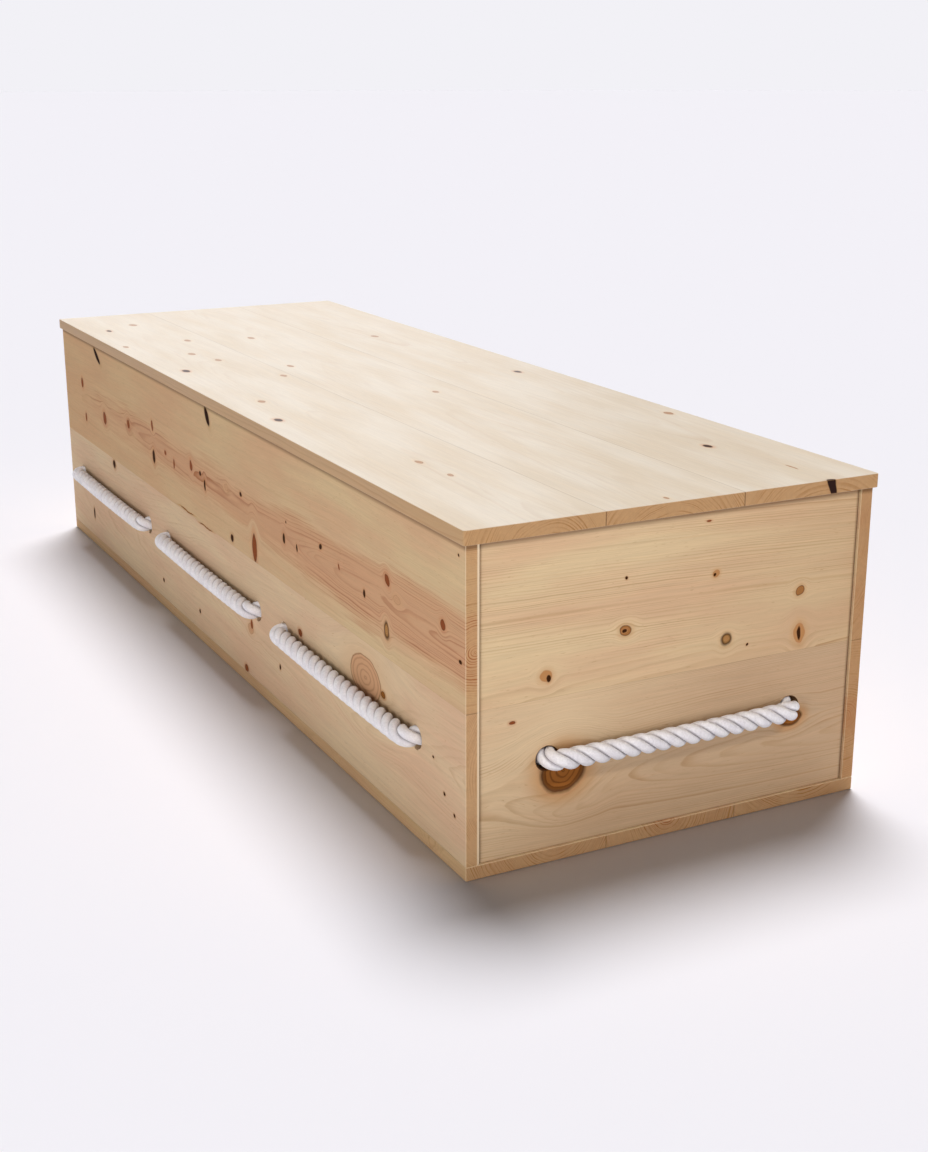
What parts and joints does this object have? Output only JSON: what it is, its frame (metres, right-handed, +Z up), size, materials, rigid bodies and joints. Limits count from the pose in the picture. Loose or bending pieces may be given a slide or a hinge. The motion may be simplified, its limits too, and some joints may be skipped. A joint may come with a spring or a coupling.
{
  "type": "pine coffin",
  "caption": "Plain rectangular coffin of glued pine boards with a loose flat lid and white rope handles along the sides and across the ends.",
  "frame": {"origin": "on the floor under the middle of the bottom board", "axes": "+X along the coffin towards the foot end, +Y towards its left side, +Z up"},
  "size_m": [1.9278, 0.6658, 0.457],
  "materials": {
    "pine_bottom": "planed bare pine, glued up from planks",
    "pine_sides": "planed bare pine with knots and a reddish heartwood band",
    "pine_ends": "planed bare pine, paler, with small dark knots",
    "pine_lid": "planed bare pine, the palest boards",
    "rope": "white three-strand laid cotton rope"
  },
  "bodies": {
    "root": {"bottom_board": "pine_bottom", "side_left": "pine_sides", "side_right": "pine_sides", "end_head": "pine_ends", "end_foot": "pine_ends", "lid": "pine_lid", "rope_left_foot": "rope", "rope_left_middle": "rope", "rope_left_head": "rope", "rope_right_foot": "rope", "rope_right_middle": "rope", "rope_right_head": "rope", "rope_foot_end": "rope", "rope_head_end": "rope"}
  },
  "joints": []
}
